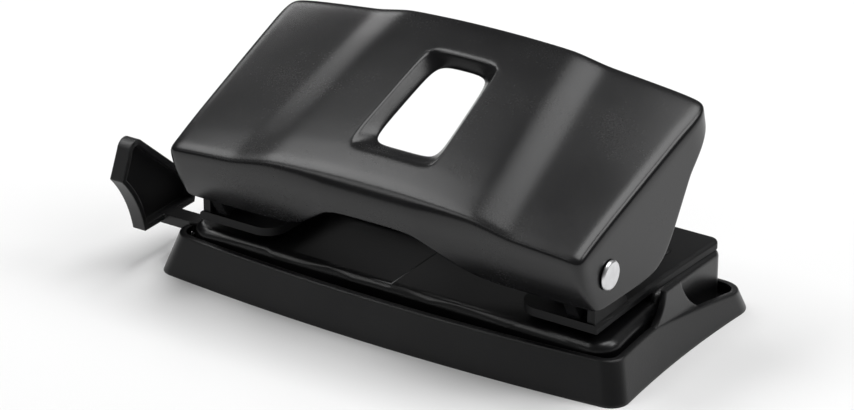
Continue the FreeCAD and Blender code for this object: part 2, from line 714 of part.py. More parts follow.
def pivot_washer(side_name, side):
    """Thin washer on the rivet between the cheek and the ear."""
    inner = EAR_OUTER + " + running_gap"
    bore = "rivet_radius + running_gap"
    body = turned("pivot_washer_" + side_name,
                  [(inner, bore), (inner, "washer_radius"),
                   (inner + " + washer_thickness", "washer_radius"),
                   (inner + " + washer_thickness", bore)], "H_Axis")
    if side:
        half_turn(body)
    place(body, "0", "pivot_y", "pivot_z")
    return body


def frame_rivet(name, x):
    """Rivet through the frame and the shelf, domed above and flat below."""
    under = SHELF + " - steel"
    body = turned("frame_rivet_" + name,
                  [("0", under + " - frame_rivet_dome"),
                   ("frame_rivet_head", under + " - frame_rivet_dome"),
                   ("frame_rivet_head", under), ("frame_rivet_radius", under),
                   ("frame_rivet_radius", FRAME_TOP), ("frame_rivet_head", FRAME_TOP),
                   ("frame_rivet_head * 0.6", FRAME_TOP + " + frame_rivet_dome"),
                   ("0", FRAME_TOP + " + frame_rivet_dome")])
    place(body, x, "frame_rivet_y")
    return body


# ---- paper guide -----------------------------------------------------------------------------

# Side view of the end stop: a shield with a rounded crest, hollowed on the lower front edge.
STOP = [("stop_heel_y", "stop_heel_z"), ("stop_toe_y", "stop_heel_z"),
        ("stop_back_y", "stop_back_z"), ("stop_crest_y", "stop_crest_z", "stop_round"),
        ("stop_brow_y", "stop_brow_z"), ("stop_front_y", "stop_front_z", "-stop_hollow")]


def paper_guide():
    """Moulded ruler that slides under the table, with a dished stop for the sheet's end."""
    body = new_body("paper_guide")
    bar = plane_sketch(body, "bar", "XY_Plane", RULER_FOOT)
    box_outline(bar, "-stop_face - stop_thickness / 2", "ruler_end",
                "-ruler_front", "ruler_width - ruler_front")
    extrude(body, "Pad", bar, "ruler_thickness")
    stop = plane_sketch(body, "stop", "YZ_Plane", "-stop_face - stop_thickness")
    outline(stop, STOP)
    extrude(body, "Pad", stop, "stop_thickness")
    dish = plane_sketch(body, "dish", "YZ_Plane", "-stop_face")
    outline(dish, inset(STOP, "stop_wall"))
    extrude(body, "Pocket", dish, "stop_dish")
    root = plane_sketch(body, "root", "XY_Plane", RULER_FOOT)
    box_outline(root, "-stop_face - stop_thickness / 2", "-stop_face",
                "-ruler_front", "ruler_width - ruler_front")
    extrude(body, "Pad", root, "ruler_thickness")
    return body


def ruler_bracket():
    """Strap spot-welded under the table; the ruler runs through it."""
    body = new_body("ruler_bracket")
    section = plane_sketch(body, "section", "YZ_Plane", "-bracket_from")
    front = "-ruler_front - side_gap"
    rear = "ruler_width - ruler_front + side_gap"
    foot = RULER_FOOT + " - seat_gap"
    outline(section, [(front + " - bracket_steel", foot + " - bracket_steel"),
                      (rear + " + bracket_steel", foot + " - bracket_steel"),
                      (rear + " + bracket_steel", TABLE_UNDER), (rear, TABLE_UNDER),
                      (rear, foot), (front, foot), (front, TABLE_UNDER),
                      (front + " - bracket_steel", TABLE_UNDER)])
    extrude(body, "Pad", section, "bracket_length")
    return body


# ---- handle ----------------------------------------------------------------------------------

def handle_section(body, name, y, inset):
    """Cross-section of the lever at y: arched, with the middle panel raised between ramps."""
    along = "((%s - ridge_y) / (lip_y - ridge_y))" % y

    def between(front, rear):
        return "(%s + (%s - %s) * %s)" % (front, rear, front, along)

    half = between("handle_front_half", "handle_rear_half")
    outer = between("front_ramp_outer", "rear_ramp_outer")
    inner = between("front_ramp_inner", "rear_ramp_inner")
    arch = between("front_arch", "rear_arch")
    edge = "(%s - (%s))" % (between("ridge_z", "lip_z"), inset)

    def height(x):
        return "(%s + %s * (1 - (%s / %s)^2))" % (edge, arch, x, half)

    side = "(%s + handle_wall)" % half
    wing_rise = "(%s * ((%s - %s) / 2 / %s)^2)" % (arch, side, outer, half)
    panel_rise = "(%s * (%s / %s)^2)" % (arch, inner, half)
    panel = height(inner) + " + panel_raise"
    foot = "(skirt_z - 10 - 2 * (%s))" % inset
    sketch = plane_sketch(body, name, "XZ_Plane", "-(%s)" % y)
    outline(sketch, [("-" + side, foot), (side, foot), (side, height(side), wing_rise),
                     (outer, height(outer)), (inner, panel, panel_rise),
                     ("-" + inner, panel), ("-" + outer, height(outer), wing_rise),
                     ("-" + side, height(side))])
    return sketch


def handle_form(name, inset):
    """The lever as a full block, or with an inset the room inside it; flat cheeks."""
    body = new_body(name)
    loft(body, "AdditiveLoft", handle_section(body, "front", "(ridge_y - 5)", inset),
         handle_section(body, "rear", "(lip_y + 5)", inset))
    cheeks = plane_sketch(body, "cheeks", "XY_Plane", "lip_z * 2")
    box_outline(cheeks, "-200", "200", "-200", "200")
    front = "(handle_front_half - 10 * %s - (%s))" % (CHEEK_GROWTH, inset)
    rear = "(handle_rear_half + 10 * %s - (%s))" % (CHEEK_GROWTH, inset)
    outline(cheeks, [("-" + front, "ridge_y - 10"), (front, "ridge_y - 10"),
                     (rear, "lip_y + 10"), ("-" + rear, "lip_y + 10")])
    extrude(body, "Pocket", cheeks, "lip_z * 4")
    return body


def side_cut(body, corners):
    """Keep only what lies inside the side view's outline."""
    sketch = plane_sketch(body, "side_view", "YZ_Plane", "handle_rear_half * 2")
    box_outline(sketch, "-200", "200", "-200", "200")
    outline(sketch, corners)
    extrude(body, "Pocket", sketch, "handle_rear_half * 4")


def front_line(z):
    """y of the leaning front wall at height z."""
    return ("(skirt_front_y + (ridge_y - skirt_front_y) * ((%s) - skirt_z)"
            " / (ridge_z - skirt_z))" % z)


def lip_line(z):
    """y of the rear lip at height z."""
    return "(lip_foot_y + (lip_y - lip_foot_y) * ((%s) - lip_foot_z) / (lip_z - lip_foot_z))" % z


def handle():
    """Moulded lever: top, front wall, two cheeks and a rear lip, with ribs inside."""
    block = handle_form("handle_block", "0")
    high = "lip_z + 12"
    side_cut(block, [("skirt_front_y", "skirt_z"), ("skirt_rear_y", "skirt_z"),
                     ("cheek_knee_y", "cheek_knee_z"), ("lip_foot_y", "lip_foot_z"),
                     (lip_line(high), high), (front_line(high), high)])
    fillet(block, "lip_corner",
           lambda p, e: upright(e) and abs(p.y - size(lip_line(p.z))) < 0.05, "lip_corners")
    ridge = size("ridge_z") + size(TOP_SLOPE) * -size("ridge_y")
    fillet(block, "edge_round",
           lambda p, e: abs(p.y - size(front_line(p.z))) < 0.05 and p.z > size("skirt_z + 1")
           or p.y > size("lip_y - lip_corner * 1.2") and p.z > size("lip_foot_z + 3")
           or abs(p.x) > size("handle_front_half")
           and abs(p.z - ridge - size(TOP_SLOPE) * p.y) < 0.3, "edges")
    room = handle_form("handle_room", "handle_wall")
    low = "skirt_z - 8"
    side_cut(room, [(front_line(low) + " + handle_wall * 1.12", low), ("lip_y + 30", low),
                    ("lip_y + 30", "lip_foot_z"), ("lip_foot_y - handle_wall", "lip_foot_z"),
                    (lip_line(high) + " - handle_wall", high),
                    (front_line(high) + " + handle_wall * 1.12", high)])
    fillet(room, "lip_corner - handle_wall",
           lambda p, e: upright(e) and abs(p.y - size(lip_line(p.z) + " - handle_wall")) < 0.05,
           "lip_corners")
    shell = doc.addObject("Part::Cut", "handle_shell")
    shell.Base = block
    shell.Tool = room
    doc.recompute()

    body = new_body("handle")
    body.BaseFeature = shell
    doc.recompute()
    arch = plane_sketch(body, "arch", "XZ_Plane", "-skirt_front_y + 30")
    half_way = "(skirt_z + arch_z) / 2"
    flank = "(arch_foot + arch_crown) / 2"
    outline(arch, [("-arch_foot", "skirt_z - 5"), ("arch_foot", "skirt_z - 5"),
                   ("arch_foot", "skirt_z", "arch_turn"), (flank, half_way, "-arch_turn"),
                   ("arch_crown", "arch_z"), ("-arch_crown", "arch_z", "-arch_turn"),
                   ("-" + flank, half_way, "arch_turn"), ("-arch_foot", "skirt_z")])
    extrude(body, "Pocket", arch, "40")

    for side in ("-", ""):
        name = "left" if side else "right"
        nose = plane_sketch(body, "nose_" + name, "YZ_Plane", side + PUNCH_X + " - nose_width / 2")
        root = "ridge_z + front_arch / 2 + %s * (%s - ridge_y) - handle_wall / 2"
        front = "(nose_y - nose_radius)"
        rear = "(nose_y + nose_radius)"
        outline(nose, [(front, NOSE_Z, quarter("nose_radius")),
                       ("nose_y", NOSE_Z + " - nose_radius", quarter("nose_radius")),
                       (rear, NOSE_Z), (rear, root % (TOP_SLOPE, rear)),
                       (front, root % (TOP_SLOPE, front))])
        extrude(body, "Pad", nose, "nose_width")
        rib_x = "stop_rib_x" if not side else "-stop_rib_x - stop_rib_width"
        rib = plane_sketch(body, "stop_rib_" + name, "YZ_Plane", rib_x)
        rib_foot = FRAME_TOP + " + seat_gap"
        outline(rib, [("skirt_front_y + 0.3", "skirt_z"), ("-frame_lobe_front + 0.5", rib_foot),
                      ("-frame_lobe_front + 2.5", rib_foot),
                      ("skirt_front_y + 2.5", "skirt_z + 5"),
                      (front_line("skirt_z + 5") + " + handle_wall / 2", "skirt_z + 5")])
        extrude(body, "Pad", rib, "stop_rib_width")

    pivots = plane_sketch(body, "pivots", "YZ_Plane", "handle_rear_half * 2")
    circle(pivots, "pivot_y", "pivot_z", "rivet_radius + running_gap")
    extrude(body, "Pocket", pivots, "handle_rear_half * 4")
    cut_window(body)
    return body


def window_outline(body, name, depth, spread, border="0"):
    """One level of the window, on a plane that lies along the lever's top.  The spread goes
    from 0 at the opening to 1 at the recess's edge; the border is added all round."""
    sketch = plane_sketch(body, name, "XY_Plane")
    lean = "atan(%s)" % TOP_SLOPE
    along = "(window_y - ridge_y) / (lip_y - ridge_y)"
    crown = ("(ridge_z + %s * (window_y - ridge_y) + panel_raise"
             " + front_arch + (rear_arch - front_arch) * %s)" % (TOP_SLOPE, along))
    offset = ".AttachmentOffset."
    sketch.setExpression(offset + "Base.y", bound("window_y + (%s) * sin(%s)" % (depth, lean)))
    sketch.setExpression(offset + "Base.z", bound("%s - (%s) * cos(%s)" % (crown, depth, lean)))
    sketch.setExpression(offset + "Rotation.Axis.x", "1")
    sketch.setExpression(offset + "Rotation.Axis.z", "0")
    sketch.setExpression(offset + "Rotation.Angle", bound(lean))

    def level(opening, edge):
        return "(%s + (%s - %s) * (%s) + (%s))" % (opening, edge, opening, spread, border)

    reach = level("window_length / 2", "recess_length / 2")
    radius = level("window_corner", "recess_corner")
    front = level("window_front_half", "recess_front_half")
    rear = level("window_rear_half", "recess_rear_half")
    narrow = "(%s - %s) * %s / (2 * %s)" % (front, rear, radius, reach)
    front_side = "(%s - %s)" % (front, narrow)
    rear_side = "(%s + %s)" % (rear, narrow)
    turn = quarter(radius)
    outline(sketch, [("-(%s - %s)" % (front, radius), "-" + reach),
                     ("%s - %s" % (front, radius), "-" + reach, turn),
                     (front_side, "%s - %s" % (radius, reach)),
                     (rear_side, "%s - %s" % (reach, radius), turn),
                     ("%s - %s" % (rear, radius), reach),
                     ("-(%s - %s)" % (rear, radius), reach, turn),
                     ("-" + rear_side, "%s - %s" % (reach, radius)),
                     ("-" + front_side, "%s - %s" % (radius, reach), turn)])
    return sketch


def cut_window(body):
    """A window with dished edges; a collar under the top keeps the wall's thickness."""
    collar = window_outline(body, "collar", "recess_depth + window_land", "0.5", "handle_wall")
    extrude(body, "Pad", collar, "recess_depth + window_land - handle_wall / 2")
    loft(body, "SubtractiveLoft", window_outline(body, "sill", "recess_depth", "0"),
         window_outline(body, "brow", "-handle_wall", "1 + handle_wall / recess_depth"))
    opening = window_outline(body, "opening", "recess_depth - 0.1", "0")
    extrude(body, "Pocket", opening, "recess_depth + 2 * handle_wall")


# ---- the whole punch -------------------------------------------------------------------------

SIDES = (("left", "-"), ("right", ""))
pieces = [chip_tray(), base_plate(), punch_frame(), handle(), paper_guide(), ruler_bracket()]
for make in (punch_guide, punch_pin, return_spring, spring_washer, retaining_ring,
             pivot_rivet, pivot_washer):
    pieces += [make(side_name, side) for side_name, side in SIDES]
for side_name, side in SIDES:
    pieces.append(frame_rivet(side_name + "_outer", side + "frame_rivet_outer"))
    pieces.append(frame_rivet(side_name + "_inner", side + "frame_rivet_inner"))
doc.recompute()

for item in doc.Objects:
    if "Invalid" in item.State or "Error" in item.State:
        raise RuntimeError("%s did not build: %s" % (item.Name, item.State))
    if item.TypeId in ("PartDesign::Pocket", "PartDesign::SubtractiveLoft"):
        if item.Shape.Volume > item.BaseFeature.Shape.Volume - 1e-3:
            raise RuntimeError("%s cuts nothing" % item.Name)
for piece in pieces:
    if piece.Shape.isNull() or not piece.Shape.isValid():
        raise RuntimeError("%s has no valid shape" % piece.Label)

os.makedirs("parts", exist_ok=True)
for piece in pieces:
    piece.Shape.exportStep(os.path.join("parts", piece.Label + ".step"))
    box = piece.Shape.optimalBoundingBox(False)
    print("%-24s solids %d  volume %8.1f  x %6.1f %6.1f  y %6.1f %6.1f  z %6.1f %6.1f" % (
        piece.Label, len(piece.Shape.Solids), piece.Shape.Volume,
        box.XMin, box.XMax, box.YMin, box.YMax, box.ZMin, box.ZMax))
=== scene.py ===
import math

import bmesh
import bpy
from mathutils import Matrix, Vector


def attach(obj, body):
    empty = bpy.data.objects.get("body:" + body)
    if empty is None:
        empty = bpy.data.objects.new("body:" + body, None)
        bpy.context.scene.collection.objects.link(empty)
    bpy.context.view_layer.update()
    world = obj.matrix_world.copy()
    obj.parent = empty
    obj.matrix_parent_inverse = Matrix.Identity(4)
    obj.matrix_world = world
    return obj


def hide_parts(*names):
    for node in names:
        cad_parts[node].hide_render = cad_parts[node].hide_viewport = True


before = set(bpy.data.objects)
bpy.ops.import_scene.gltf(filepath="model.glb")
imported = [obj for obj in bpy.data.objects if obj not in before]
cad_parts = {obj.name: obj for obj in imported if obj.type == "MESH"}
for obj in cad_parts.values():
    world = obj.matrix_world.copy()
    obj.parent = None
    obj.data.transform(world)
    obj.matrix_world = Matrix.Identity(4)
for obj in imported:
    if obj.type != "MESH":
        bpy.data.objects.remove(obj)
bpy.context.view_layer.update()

mm = 0.001

# ---- camera ----------------------------------------------------------------------------------
# A long lens, a little to the right of the front and above the lever.

camera = bpy.data.objects.new("camera", bpy.data.cameras.new("camera"))
bpy.context.scene.collection.objects.link(camera)
bpy.context.scene.camera = camera
camera.data.sensor_width = 36
camera.data.lens = 152.8
camera.data.clip_start = 0.05
camera_way = Vector((-387.9, 591.6, -336.57))
camera.location = Vector((381.8, -591.6, 355.2)) * mm
camera.rotation_mode = "QUATERNION"
camera.rotation_quaternion = camera_way.to_track_quat("-Z", "Y")

# ---- lever -----------------------------------------------------------------------------------
# One moulding in black plastic with a fine grain: an arched top with a raised middle between two
# ramps, a front wall that leans under, two cheeks and a short rear lip, 1.5 mm thick. A rivet
# through each cheek holds it.


class Socket:
    """One value inside a material: writing sums with it adds the nodes that work them out."""

    def __init__(self, tree, socket):
        self.tree = tree
        self.socket = socket

    def combine(self, operation, first, second):
        return self.tree.node("ShaderNodeMath", {"operation": operation}, first, second)

    def __add__(self, other):
        return self.combine("ADD", self, other)

    def __radd__(self, other):
        return self.combine("ADD", other, self)

    def __sub__(self, other):
        return self.combine("SUBTRACT", self, other)

    def __rmul__(self, other):
        return self.combine("MULTIPLY", other, self)

    def between(self, low, high):
        """0 below low, 1 above high, smooth in between."""
        settings = {"interpolation_type": "SMOOTHSTEP"}
        return self.tree.node("ShaderNodeMapRange", settings, self, low, high)


class Finish:
    """A material and the nodes in it."""

    mix_low, mix_high, mix_result = 6, 7, 2     # the Mix node's sockets for colours
    metre = 1000                                # in millimetres

    def __init__(self, name):
        self.material = bpy.data.materials.new(name)
        self.material.use_nodes = True
        self.nodes = self.material.node_tree.nodes
        self.links = self.material.node_tree.links
        self.shader = self.nodes["Principled BSDF"]

    def put(self, value, socket):
        if isinstance(value, Socket):
            self.links.new(value.socket, socket)
        else:
            socket.default_value = value

    def node(self, kind, settings=None, *values, output=0, **named):
        made = self.nodes.new(kind)
        for name, value in (settings or {}).items():
            setattr(made, name, value)
        for number, value in enumerate(values):
            self.put(value, made.inputs[number])
        for name, value in named.items():
            self.put(value, made.inputs[name])
        return Socket(self, made.outputs[output])

    def place(self, scale):
        """Position on the piece in millimetres, stretched by the scale."""
        where = self.node("ShaderNodeTexCoord", output="Object")
        stretch = tuple(self.metre * part for part in scale)
        return self.node("ShaderNodeMapping", {"vector_type": "POINT"}, where, Scale=stretch)

    def noise(self, size, detail, roughness=0.5, scale=(1, 1, 1)):
        """Cloudy pattern whose patches are about size millimetres across."""
        return self.node("ShaderNodeTexNoise", None, Vector=self.place(scale), Scale=1 / size,
                         Detail=detail, Roughness=roughness)

    def tint(self, clouds, low, high):
        """Colour that goes from low to high with the clouds."""
        made = self.nodes.new("ShaderNodeMix")
        made.data_type = "RGBA"
        self.put(clouds.between(0.3, 0.7), made.inputs["Factor"])
        self.put((*low, 1), made.inputs[self.mix_low])
        self.put((*high, 1), made.inputs[self.mix_high])
        return Socket(self, made.outputs[self.mix_result])

    def bump(self, height, distance, normal=None):
        """Relief of this height, in millimetres, on the surface or on the given normal."""
        made = self.nodes.new("ShaderNodeBump")
        self.put(height, made.inputs["Height"])
        made.inputs["Distance"].default_value = distance * mm
        made.inputs["Strength"].default_value = 1.0
        if normal:
            self.put(normal, made.inputs["Normal"])
        return Socket(self, made.outputs[0])

    def surface(self, **values):
        for name, value in values.items():
            self.put(value, self.shader.inputs[name.replace("_", " ")])
        return self.material


def moulded_plastic(name, dark, light, roughness, grain, gloss=0.5, edge=0):
    """Black moulding: a spark-eroded grain, faint flow clouds, and a shine that varies a little
    with the clouds and the grain.
    The grain's depth and the rounding of its edges are in millimetres."""
    finish = Finish(name)
    cloud_size, grain_size, speck_size = 18, 0.45, 0.45 * 0.45
    clouds = finish.noise(cloud_size, 3)
    fine = finish.noise(grain_size, 2, 0.6)
    specks = finish.noise(speck_size, 1)
    colour = finish.tint(clouds, dark, light)
    sheen = roughness + 0.10 * (clouds - 0.5) + 0.10 * (fine - 0.5)
    rounded = finish.node("ShaderNodeBevel", {"samples": 6}, edge * mm) if edge else None
    relief = finish.bump(0.7 * fine + 0.3 * specks, grain, rounded)
    return finish.surface(Base_Color=colour, Roughness=sheen, Normal=relief,
                          Specular_IOR_Level=gloss)


lever_plastic = moulded_plastic("lever_plastic", (0.005, 0.005, 0.0055), (0.007, 0.007, 0.0075),
                                0.25, 0.012, gloss=0.42)

# Side view, y and z in millimetres: the front ridge and the rear lip, the skirt along the foot,
# and the knee from which the cheeks rise to the lip's foot.
ridge_y, ridge_z = -32.3, 33.3
lip_y, lip_z = 17.4, 50.9
skirt_z, skirt_rear = 19.0, -0.4
knee_y, knee_z = 10.1, 37.3
lip_foot_y, lip_foot_z = 18.6, 45.8
skirt_top_y, knee_top_y = -6.8, 6.8     # y of the top over the skirt's rear end and the knee
bend_y, bend_z = -32.4, 34.5            # where the front wall is upright
bend_below, bend_above = 0.031, 0.15
rear_corner = 1.1
corner_edge = 1.4
wall = 1.5
panel_raise = 1.2
crown_rise = 0.7
# Seen from the front, each size first at the ridge and then at the rear lip.
side_x = (51.5, 53.5)
ramp_outer_x = (34.5, 28.9)
ramp_inner_x = (25.9, 21.2)
arch_rise = (2.4, 5.1)


def blend(front, rear, y):
    """A size that changes evenly from the front ridge to the rear lip."""
    return front + (rear - front) * (y - ridge_y) / (lip_y - ridge_y)


def half_width(y):
    return blend(*side_x, y)


def ramp_ends(y):
    """x of the outer and the inner end of a ramp."""
    return blend(*ramp_outer_x, y), blend(*ramp_inner_x, y)


def top_height(x, y):
    """Height of the lever's top: an arch with its middle panel raised between the ramps."""
    outer, inner = ramp_ends(y)
    ramp = min(max((outer - abs(x)) / (outer - inner), 0), 1)
    arch = blend(*arch_rise, y) * (1 - (x / half_width(y)) ** 2)
    crown = crown_rise * (1 - ((y - (ridge_y + lip_y) / 2) / (lip_y - ridge_y) * 2) ** 4)
    return blend(ridge_z, lip_z, y) + arch + crown + panel_raise * ramp


def front_y(z):
    """Side view of the front wall: upright at the ridge, curved under towards its foot."""
    bend = bend_below if z < bend_z else bend_above
    return bend_y + bend * (z - bend_z) ** 2


def rear_y(z):
    return lip_foot_y + (lip_y - lip_foot_y) * (z - lip_foot_z) / (lip_z - lip_foot_z)


def edge_y(x, line, y):
    """y at which the top at x meets the front wall or the rear lip, found by closing in."""
    for _ in range(6):
        y = line(top_height(x, y))
    return y


# The top is a grid of rows from front to rear and of columns from the middle to each side.
window_front, window_rear = -18.9, 3.9
recess_front, recess_rear = -23.6, 5.6
window_depth = 3.0
opening_half, opening_taper = 8.3, 2.0
recess_half, recess_taper = 10.8, 1.9
# The outermost bands of faces, which carry the rounding to the walls.
front_band, rear_band, side_band = 2.8, 4.2, 3.4
front_middle = edge_y(0, front_y, ridge_y)
rear_middle = edge_y(0, rear_y, lip_y)
lever_rows = [front_middle, front_middle + front_band, recess_front - 1.3, recess_front,
              recess_front + 1.2, window_front, window_front + 3.0, skirt_top_y,
              window_rear - 3.0, window_rear, recess_rear - 0.5, recess_rear,
              recess_rear + 1.3, rear_middle - rear_band, rear_middle]


def lever_columns(y):
    """x of the lines that run from front to rear, on the right half."""
    along = min(max((y - recess_front) / (recess_rear - recess_front), -0.3), 1.3)
    opening = opening_half - opening_taper * along
    recess = recess_half - recess_taper * along
    outer, inner = ramp_ends(y)
    side = half_width(y)
    return [0, opening - 2.6, opening, recess - 0.6, recess, recess + 1.1,
            (recess + inner) / 2, inner - 1.7, inner + 0.9, outer - 0.8, outer + 1.3,
            (outer + side) / 2, side - side_band, side]


columns = len(lever_columns(0)) - 1
last_row = len(lever_rows) - 1
lever_bm = bmesh.new()
bmesh.ops.create_grid(lever_bm, x_segments=2 * columns, y_segments=last_row, size=1)
grid_place = {}
for vert in lever_bm.verts:
    column = round(vert.co.x * columns)
    row = round((vert.co.y + 1) / 2 * last_row)
    grid_place[vert] = (column, row)
for vert, (column, row) in grid_place.items():
    middle_y = lever_rows[row]
    x = math.copysign(lever_columns(middle_y)[abs(column)], column) if column else 0.0
    along = (middle_y - front_middle) / (rear_middle - front_middle)
    first = edge_y(x, front_y, ridge_y)
    last = edge_y(x, rear_y, lip_y)
    y = first + (last - first) * along
    if abs(column) == columns and row == last_row:
        x -= math.copysign(rear_corner, x)
        y -= rear_corner
    vert.co = Vector((x, y, top_height(x, y)))

# The window: four loops with rounded corners, from the top's surface down to the opening. Each
# has its column, its first row, its corners' radius and its depth. The wall is thinner there.
opening_column, opening_row = 2, 5
window_loops = [(5, 2, 3.9, 0.0), (4, 3, 2.8, 0.0), (3, 4, 2.6, 0.75),
                (opening_column, opening_row, 2.4, window_depth)]
down = Vector((0, 0.339, -0.941))
thin_part = 0.4
thin_verts = []
for loop_column, first_row, radius, depth in window_loops:
    rear_row = last_row - first_row
    for vert, (column, row) in grid_place.items():
        at_side = abs(column) == loop_column and first_row <= row <= rear_row
        at_end = row in (first_row, rear_row) and abs(column) <= loop_column
        if not (at_side or at_end):
            continue
        x, y = abs(vert.co.x), vert.co.y
        way = -1 if row <= last_row / 2 else 1
        end_y = lever_rows[first_row if way < 0 else rear_row]
        beyond_x = x - (lever_columns(y)[loop_column] - radius)
        beyond_y = way * (y - (end_y - way * radius))
        if beyond_x > 0 and beyond_y > 0:
            pull = radius / math.hypot(beyond_x, beyond_y) - 1
            x += beyond_x * pull
            y += way * beyond_y * pull
        vert.co = Vector((math.copysign(x, vert.co.x), y, top_height(x, y))) + down * depth
        thin_verts.append(vert)
window_faces = []
for face in lever_bm.faces:
    places = [grid_place[v] for v in face.verts]
    if all(abs(c) <= opening_column and opening_row <= r <= last_row - opening_row
           for c, r in places):
        window_faces.append(face)
bmesh.ops.delete(lever_bm, geom=window_faces, context="FACES")
thin_verts = [v for v in thin_verts if v.is_valid]

# The walls: each edge vertex of the top has a foot, and rings of faces run down to the feet.
# A cheek's feet are y of the top, then y and z of the foot; the front wall's are x of the top,
# then x and z of the foot, along the arch in its lower edge.
foot_front = front_y(skirt_z)
cheek_feet = [(ridge_y - 2, foot_front, skirt_z),
              (front_middle + front_band, foot_front + corner_edge, skirt_z),
              (skirt_top_y, skirt_rear, skirt_z),
              (knee_top_y, knee_y, knee_z), (rear_middle, lip_foot_y, lip_foot_z)]
arch_feet = [(0, 0, 28.4), (5.7, 6.0, 28.4), (8.4, 9.6, 28.1), (13.2, 13.0, 26.7),
             (15.5, 16.5, 24.0), (20, 20.2, 21.0), (23.9, 24.0, 19.6), (26.9, 28.0, 19.1),
             (33.6, 34.0, 19.0), (35.6, 38.0, 19.0), (43.5, 43.5, 19.0), (49.0, 49.0, 19.0),
             (51.4, 51.5, 19.6)]
front_round, rear_round, side_round = 2.4, 2.3, 3.4     # how far the top's edge is rounded
most_round = 0.3                                        # of the wall's height
foot_round = 1.1


def along_table(table, where):
    """Read a table of (place, ...) in between its lines."""
    for low, high in zip(table, table[1:]):
        if where <= high[0]:
            break
    part = min(max((where - low[0]) / (high[0] - low[0]), 0), 1)
    return [a + (b - a) * part for a, b in zip(low[1:], high[1:])]


def foot_of(vert, column, row):
    side = math.copysign(1, column)
    if abs(column) == columns and row:
        y, z = along_table(cheek_feet, lever_rows[row])
        inset = rear_corner if row == last_row else 0
        return Vector((side * (half_width(y) - inset), y - inset, z))
    if row == last_row:
        return Vector((vert.co.x, lip_foot_y, lip_foot_z))
    x, z = along_table(arch_feet, abs(vert.co.x))
    if abs(column) == columns - 1:
        x = half_width(ridge_y) - corner_edge
    return Vector((side * x, front_y(z), z))


walls = {}
for vert, (column, row) in grid_place.items():
    if vert.is_valid and (abs(column) == columns or row in (0, last_row)):
        round_off = {0: front_round, last_row: rear_round}.get(row, side_round)
        walls[vert] = (vert.co.copy(), foot_of(vert, column, row), round_off, row == 0)
ring_edges = [e for e in lever_bm.edges if len(e.link_faces) == 1
              and all(v in walls for v in e.verts)]
for level in ("below the edge", "middle", "above the foot", "foot"):
    made = bmesh.ops.extrude_edge_only(lever_bm, edges=ring_edges)["geom"]
    new_verts = [g for g in made if isinstance(g, bmesh.types.BMVert)]
    ring_edges = [g for g in made if isinstance(g, bmesh.types.BMEdge)
                  and all(v in new_verts for v in g.verts)]
    below = {}
    for vert in new_verts:
        above = [e.other_vert(vert) for e in vert.link_edges if e.other_vert(vert) in walls][0]
        top, foot, round_off, in_front = walls[above]
        way = foot - top
        if level == "below the edge":
            vert.co = top + way.normalized() * min(round_off, way.length * most_round)
        elif level == "middle":
            vert.co = top + way * 0.5
        elif level == "above the foot":
            vert.co = foot - way.normalized() * foot_round
        else:
            vert.co = foot
        if in_front:
            vert.co.y = front_y(vert.co.z)
        below[vert] = walls[above]
    walls = below


def add_piece(name, bm, material):
    """Make an object of a mesh that was drawn in millimetres."""
    bmesh.ops.recalc_face_normals(bm, faces=bm.faces)
    bmesh.ops.scale(bm, vec=(mm, mm, mm), verts=bm.verts)
    mesh = bpy.data.meshes.new(name)
    bm.to_mesh(mesh)
    bm.free()
    piece = bpy.data.objects.new(name, mesh)
    bpy.context.scene.collection.objects.link(piece)
    mesh.shade_smooth()
    mesh.materials.append(material)
    return piece


lever_bm.verts.index_update()
thin = sorted({v.index for v in thin_verts})
lever = add_piece("lever", lever_bm, lever_plastic)
thickness = lever.vertex_groups.new(name="wall")
thickness.add([v.index for v in lever.data.vertices], 1.0, "REPLACE")
thickness.add(thin, thin_part, "REPLACE")
shell = lever.modifiers.new("wall", "SOLIDIFY")
shell.thickness = wall * mm
shell.offset = -1
shell.vertex_group = "wall"
smooth = lever.modifiers.new("smooth", "SUBSURF")
smooth.levels = smooth.render_levels = 3
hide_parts("handle")
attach(lever, "handle")

# ---- ribs in the lever -----------------------------------------------------------------------
# Under the lever's top the moulding has a rounded nose over each punch, which pushes it down,
# and behind the front wall a stop rib at each end, which meets the frame as the lever is let up.

rib_width, rib_edge = 3.0, 0.3
nose_x, nose_y, nose_z, nose_radius = 40.0, -13.5, 33.9, 4.0
nose_root = 0.6 * wall          # the nose ends this deep in the top's wall
nose_steps = 8
stop_x = 44.5
stop_outline = [(-24.6, skirt_z), (-22.3, 15.0), (-20.3, 15.0), (-22.4, 24.0), (-28.3, 24.0)]


def side_plate(bm, outline, x, thickness):
    """Flat rib with this outline (y, z), its middle at x."""
    face = bm.faces.new([bm.verts.new((x - thickness / 2, y, z)) for y, z in outline])
    grown = bmesh.ops.extrude_face_region(bm, geom=[face])["geom"]
    bmesh.ops.translate(bm, vec=(thickness, 0, 0),
                        verts=[g for g in grown if isinstance(g, bmesh.types.BMVert)])


ribs_bm = bmesh.new()
for side in (-1, 1):
    nose = []
    for step in range(nose_steps + 1):
        turn = math.pi * (1 + step / nose_steps)
        nose.append((nose_y + nose_radius * math.cos(turn), nose_z + nose_radius * math.sin(turn)))
    for y in (nose_y + nose_radius, nose_y - nose_radius):
        nose.append((y, top_height(nose_x, y) - nose_root))
    side_plate(ribs_bm, nose, side * nose_x, rib_width)
    side_plate(ribs_bm, stop_outline, side * stop_x, rib_width)
ribs = add_piece("lever_ribs", ribs_bm, lever_plastic)
broken_edge = ribs.modifiers.new("edge", "BEVEL")
broken_edge.width = rib_edge * mm
broken_edge.segments = 2
broken_edge.limit_method = "ANGLE"
rib_normals = ribs.modifiers.new("even", "WEIGHTED_NORMAL")
rib_normals.keep_sharp = True
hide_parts("handle")
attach(ribs, "handle")

# ---- chip tray -------------------------------------------------------------------------------
# Dark polystyrene pan under the base that catches the chips. Injection moulded with a fine
# spark-eroded grain; it hangs on two hooks at the left end and snaps shut at the right, where
# its pull tab stands up.

